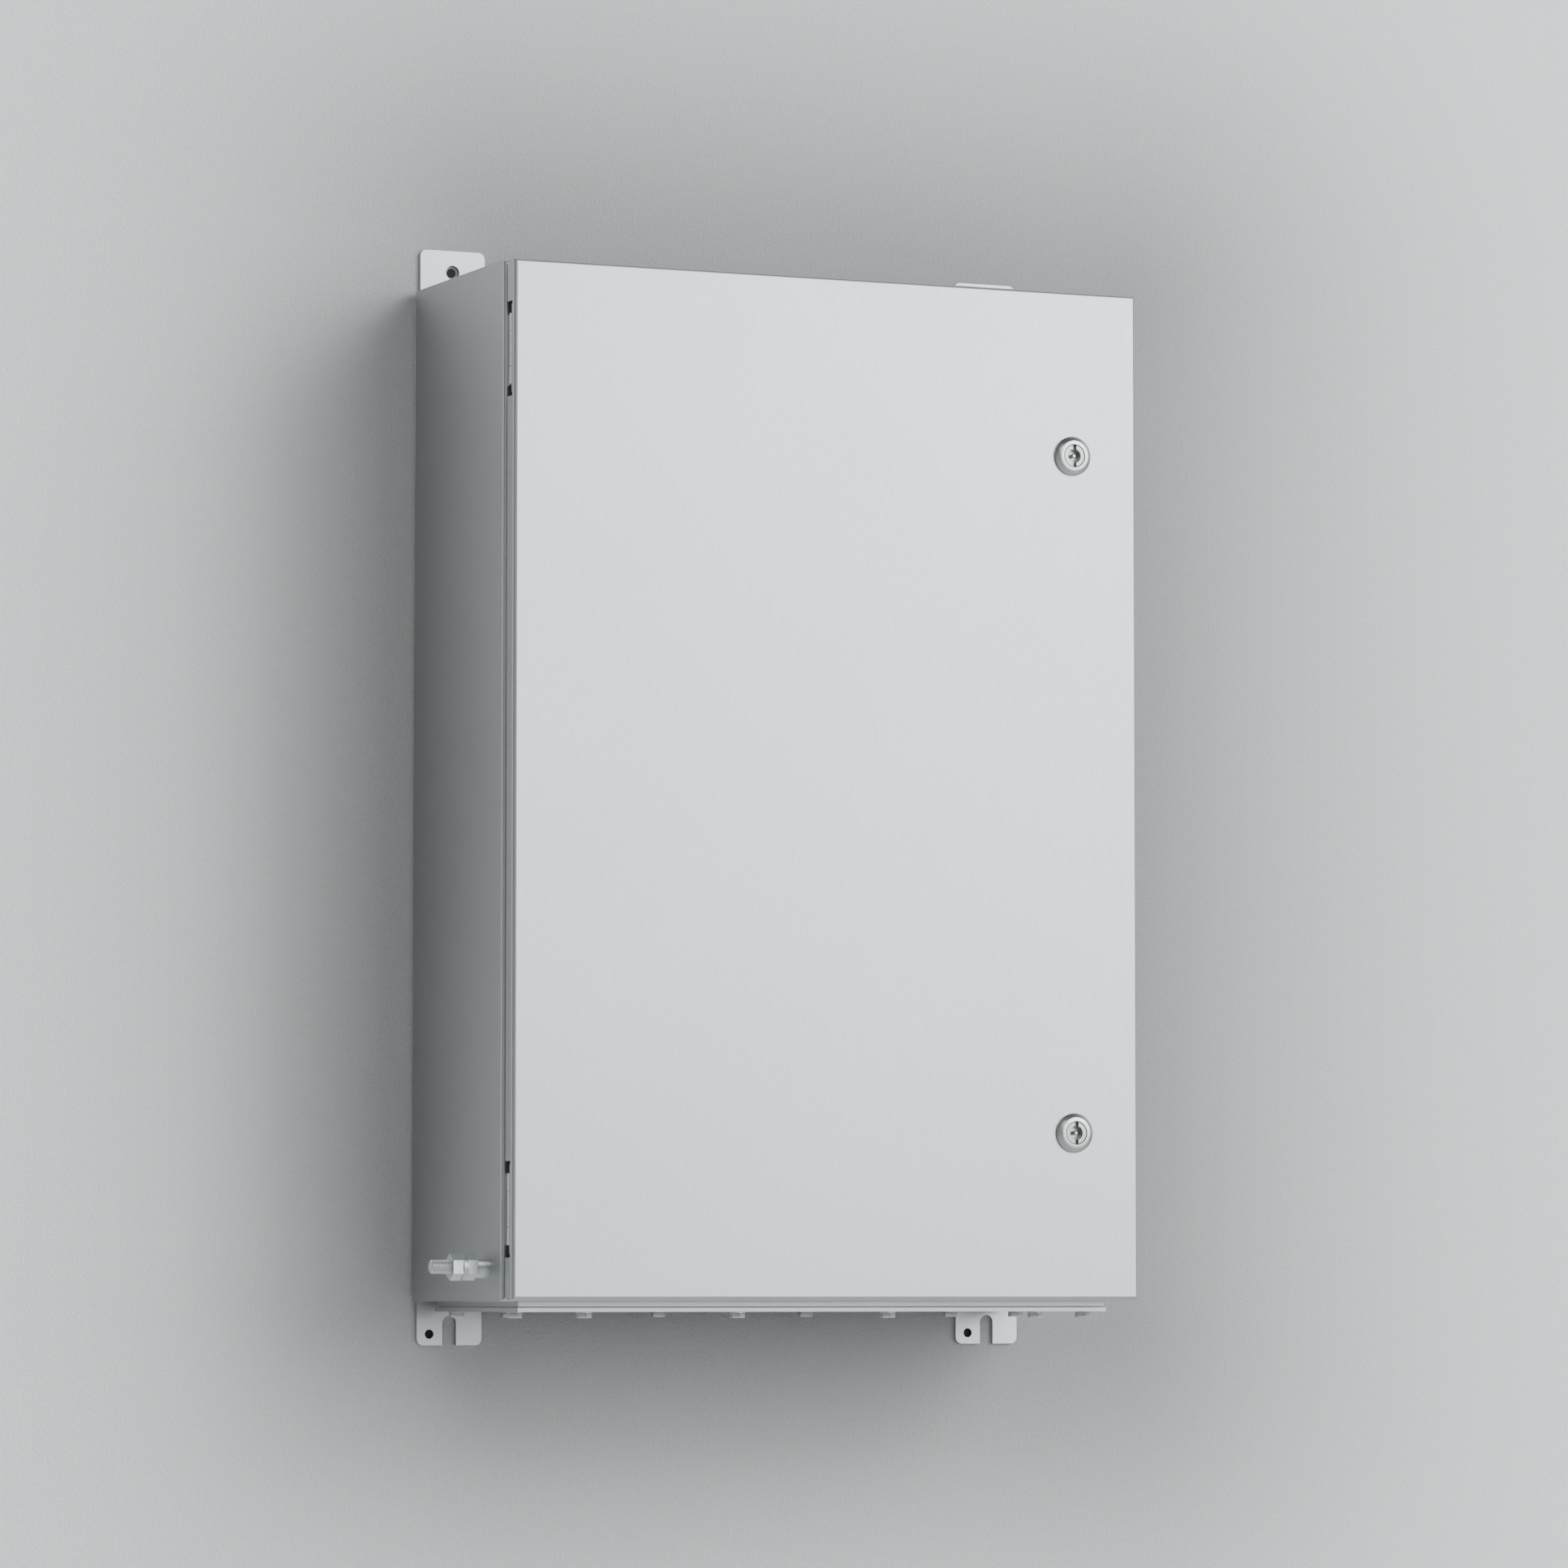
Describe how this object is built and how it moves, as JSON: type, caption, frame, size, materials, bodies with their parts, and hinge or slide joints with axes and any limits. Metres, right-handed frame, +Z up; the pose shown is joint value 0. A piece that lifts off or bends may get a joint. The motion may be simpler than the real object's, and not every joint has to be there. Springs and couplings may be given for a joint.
{
  "type": "automatic transfer switch",
  "caption": "Wall-hung stainless steel enclosure with a hinged, twin-locked door and bottom gland plate, holding a motor-driven source changeover switch and its controls.",
  "frame": {"origin": "midway between the two upper wall holes, on the wall plane at the back of the brackets", "axes": "+X to the right seen from the front, +Y into the wall, +Z up; the door faces -Y"},
  "size_m": [0.552, 0.2128, 0.828],
  "materials": {
    "brushed_stainless": "satin ground 316 stainless sheet",
    "stainless_fastener": "turned stainless",
    "cast_lock_metal": "satin cast stainless",
    "foam_gasket": "foamed polyurethane",
    "silicone_gasket": "silicone sheet",
    "galvanised_plate": "galvanised with fine spangle",
    "zinc_fastener": "zinc plated",
    "zinc_rail": "passivated zinc",
    "brass": "machined brass",
    "bare_copper": "bare copper",
    "silvered_copper": "silver flashed copper",
    "tinned_braid": "tinned copper braid",
    "black_thermoset": "glass-filled thermoset",
    "cream_thermoset": "moulded thermoset",
    "anodised_cover": "satin anodised",
    "motor_steel": "painted steel can",
    "ground_steel": "ground shaft steel",
    "acetal": "natural acetal",
    "red_handle": "glass-filled nylon",
    "black_nylon": "nylon",
    "dark_grey_case": "polycarbonate blend",
    "light_grey_case": "polycarbonate blend",
    "tinted_window": "tinted polycarbonate",
    "lamp_green": "diffused lens",
    "button_grey": "silicone key",
    "relay_clear": "clear cover over socket",
    "terminal_grey": "polyamide",
    "duct_grey": "rigid vinyl",
    "cable_sheath": "vinyl insulation"
  },
  "bodies": {
    "enclosure": {"housing_shell": "brushed_stainless", "gland_frame": "brushed_stainless", "gland_gasket": "silicone_gasket", "gland_plate": "brushed_stainless", "gland_bolts": "stainless_fastener", "upper_wall_brackets": "brushed_stainless", "lower_wall_brackets": "brushed_stainless", "bracket_screws": "stainless_fastener", "earth_stud": "stainless_fastener", "earth_stud_nuts": "stainless_fastener", "hinge_body_leaves": "stainless_fastener", "hinge_pins": "stainless_fastener", "mounting_plate": "galvanised_plate", "plate_studs": "zinc_fastener", "plate_nuts": "zinc_fastener", "body_bond_stud": "brass", "switch_base_plate": "galvanised_plate", "switch_decks": "black_thermoset", "switch_contacts": "bare_copper", "terminal_screws": "zinc_fastener", "switch_tie_rods": "zinc_fastener", "drive_housing": "black_thermoset", "drive_cover": "anodised_cover", "drive_motor": "motor_steel", "din_rails": "zinc_rail", "controller_housing": "dark_grey_case", "controller_window": "tinted_window", "controller_lamps": "lamp_green", "breaker_housings": "light_grey_case", "control_relays": "relay_clear", "control_terminals": "terminal_grey", "power_terminals": "terminal_grey", "earth_bar": "bare_copper", "wiring_ducts": "duct_grey", "duct_lids": "duct_grey", "power_cables": "cable_sheath", "door_bond_strap": "tinned_braid"},
    "door": {"door_panel": "brushed_stainless", "door_gasket": "foam_gasket", "hinge_door_leaves": "stainless_fastener", "lock_housings": "cast_lock_metal", "lock_nuts": "cast_lock_metal", "door_bond_stud": "brass"},
    "upper_lock": {"upper_lock_insert": "cast_lock_metal", "upper_lock_cam": "cast_lock_metal"},
    "lower_lock": {"lower_lock_insert": "cast_lock_metal", "lower_lock_cam": "cast_lock_metal"},
    "changeover": {"changeover_shaft": "ground_steel", "contact_rotors": "cream_thermoset", "rotor_contacts": "silvered_copper", "main_gear": "acetal", "manual_handle": "red_handle"},
    "idler": {"idler_gear": "acetal"},
    "pinion": {"motor_pinion": "brass"},
    "selector": {"mode_selector": "black_nylon"},
    "toggle_1": {"breaker_toggle_1": "black_nylon"},
    "toggle_2": {"breaker_toggle_2": "black_nylon"},
    "mode_key": {"mode_button": "button_grey"},
    "test_key": {"test_button": "button_grey"},
    "reset_key": {"reset_button": "button_grey"}
  },
  "joints": [
    {"name": "door_swing", "type": "hinge", "parent": "enclosure", "child": "door", "pos_m": [-0.2496, -0.199, -0.3975], "axis": [0, 0, -1], "range_deg": [0, 120], "deforming": ["door_bond_strap"]},
    {"name": "upper_lock_turn", "type": "hinge", "parent": "door", "child": "upper_lock", "pos_m": [0.1992, -0.208, -0.1423], "axis": [0, -1, 0], "range_deg": [0, 90]},
    {"name": "lower_lock_turn", "type": "hinge", "parent": "door", "child": "lower_lock", "pos_m": [0.1992, -0.208, -0.6527], "axis": [0, -1, 0], "range_deg": [0, 90]},
    {"name": "changeover_turn", "type": "hinge", "parent": "enclosure", "child": "changeover", "pos_m": [0, -0.151, -0.3775], "axis": [0, 1, 0], "range_deg": [-45, 45]},
    {"name": "idler_turn", "type": "hinge", "parent": "enclosure", "child": "idler", "pos_m": [0, -0.148, -0.3235], "axis": [0, 1, 0], "range_deg": [-90, 90]},
    {"name": "motor_turn", "type": "hinge", "parent": "enclosure", "child": "pinion", "pos_m": [0, -0.148, -0.2965], "axis": [0, 1, 0], "range_deg": [-180, 180]},
    {"name": "selector_turn", "type": "hinge", "parent": "enclosure", "child": "selector", "pos_m": [0.034, -0.151, -0.2885], "axis": [0, 1, 0], "range_deg": [0, 90]},
    {"name": "breaker_1_switch", "type": "hinge", "parent": "enclosure", "child": "toggle_1", "pos_m": [-0.158, -0.082, -0.1555], "axis": [-1, 0, 0], "range_deg": [0, 80]},
    {"name": "breaker_2_switch", "type": "hinge", "parent": "enclosure", "child": "toggle_2", "pos_m": [-0.121, -0.082, -0.1555], "axis": [-1, 0, 0], "range_deg": [0, 80]},
    {"name": "mode_press", "type": "slide", "parent": "enclosure", "child": "mode_key", "axis": [0, 1, 0], "range_m": [0, 0.0012], "stiffness_N_per_m": 200},
    {"name": "test_press", "type": "slide", "parent": "enclosure", "child": "test_key", "axis": [0, 1, 0], "range_m": [0, 0.0012], "stiffness_N_per_m": 200},
    {"name": "reset_press", "type": "slide", "parent": "enclosure", "child": "reset_key", "axis": [0, 1, 0], "range_m": [0, 0.0012], "stiffness_N_per_m": 200}
  ],
  "couplings": [
    {"joint": "idler_turn", "follows": "changeover_turn", "ratio": -2},
    {"joint": "motor_turn", "follows": "changeover_turn", "ratio": 4}
  ]
}
